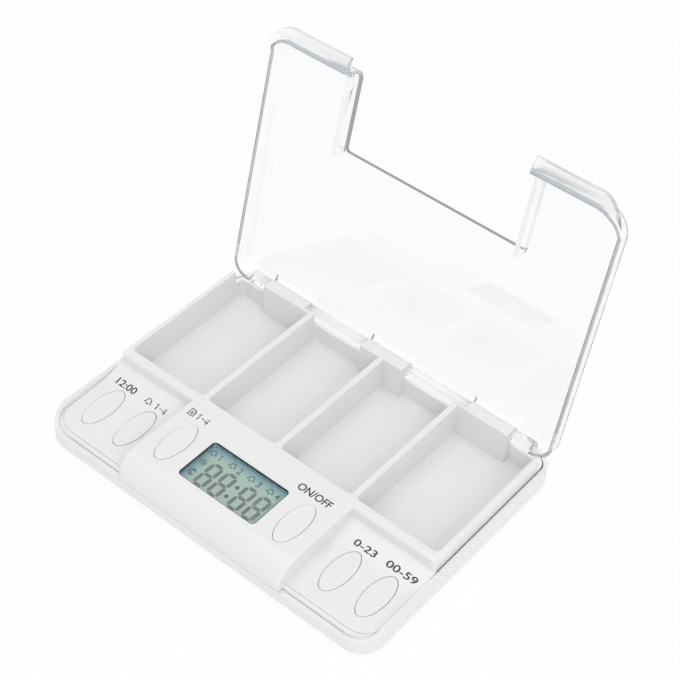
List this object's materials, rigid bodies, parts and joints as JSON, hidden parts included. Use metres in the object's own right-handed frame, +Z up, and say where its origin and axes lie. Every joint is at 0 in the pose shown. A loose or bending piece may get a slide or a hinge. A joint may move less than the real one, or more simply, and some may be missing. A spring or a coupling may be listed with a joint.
{
  "type": "pill dispenser box with timer",
  "caption": "Pocket pill box with four open compartments, a clear notched hinged lid, a raised console with a small display, and oval push buttons either side.",
  "frame": {"origin": "centre of the flat underside of the closed case, on the surface it stands on", "axes": "+X to the user's right along the case's length, -Y towards the user, +Z up"},
  "size_m": [0.105, 0.0907, 0.0856],
  "materials": {
    "white_case": "satin moulded ABS",
    "white_buttons": "satin moulded ABS",
    "clear_lid": "clear polished polystyrene",
    "clear_window": "clear polished acrylic",
    "display_cell": "grey-green liquid crystal cell",
    "black_plastic": "matte moulded plastic",
    "circuit_board": "solder mask on glass fibre board",
    "grey_rubber": "silicone rubber",
    "ribbon_film": "polyimide film",
    "epoxy": "black potting resin",
    "nickel": "nickel plated steel",
    "brass_disc": "bare brass with a ceramic top"
  },
  "bodies": {
    "case": {"bottom_shell": "white_case", "top_shell": "white_case", "display_window": "clear_window", "display_glass": "display_cell", "display_frame": "black_plastic", "display_gasket": "black_plastic", "zebra_strip_front": "grey_rubber", "zebra_strip_back": "grey_rubber", "main_board": "circuit_board", "controller_blob": "epoxy", "clock_crystal": "nickel", "key_board_left": "circuit_board", "key_board_right": "circuit_board", "ribbon_left": "ribbon_film", "ribbon_right": "ribbon_film", "key_pad_left": "grey_rubber", "key_pad_right": "grey_rubber", "key_pad_memo": "grey_rubber", "key_pad_on_off": "grey_rubber", "battery_cell_left": "nickel", "battery_cell_right": "nickel", "contact_left": "nickel", "contact_right": "nickel", "buzzer": "brass_disc", "case_screw_1": "nickel", "case_screw_2": "nickel", "case_screw_3": "nickel", "case_screw_4": "nickel", "board_screw_1": "nickel", "board_screw_2": "nickel"},
    "lid": {"lid": "clear_lid"},
    "battery_door": {"battery_door": "white_case", "contact_link": "nickel"},
    "time_button": {"time_button": "white_buttons"},
    "alarm_button": {"alarm_button": "white_buttons"},
    "memo_button": {"memo_button": "white_buttons"},
    "on_off_button": {"on_off_button": "white_buttons"},
    "hour_button": {"hour_button": "white_buttons"},
    "minute_button": {"minute_button": "white_buttons"}
  },
  "joints": [
    {"name": "lid_hinge", "type": "hinge", "parent": "case", "child": "lid", "pos_m": [0, 0.0354, 0.0105], "axis": [1, 0, 0], "range_deg": [0, 102]},
    {"name": "time_press", "type": "slide", "parent": "case", "child": "time_button", "axis": [0, 0, -1], "range_m": [0, 0.0004], "stiffness_N_per_m": 1500, "springref_m": -0.0001},
    {"name": "alarm_press", "type": "slide", "parent": "case", "child": "alarm_button", "axis": [0, 0, -1], "range_m": [0, 0.0004], "stiffness_N_per_m": 1500, "springref_m": -0.0001},
    {"name": "memo_press", "type": "slide", "parent": "case", "child": "memo_button", "axis": [0, 0, -1], "range_m": [0, 0.0004], "stiffness_N_per_m": 1500, "springref_m": -0.0001},
    {"name": "on_off_press", "type": "slide", "parent": "case", "child": "on_off_button", "axis": [0, 0, -1], "range_m": [0, 0.0004], "stiffness_N_per_m": 1500, "springref_m": -0.0001},
    {"name": "hour_press", "type": "slide", "parent": "case", "child": "hour_button", "axis": [0, 0, -1], "range_m": [0, 0.0004], "stiffness_N_per_m": 1500, "springref_m": -0.0001},
    {"name": "minute_press", "type": "slide", "parent": "case", "child": "minute_button", "axis": [0, 0, -1], "range_m": [0, 0.0004], "stiffness_N_per_m": 1500, "springref_m": -0.0001},
    {"name": "battery_door_slide", "type": "slide", "parent": "case", "child": "battery_door", "axis": [0, 1, 0], "range_m": [0, 0.004]}
  ]
}
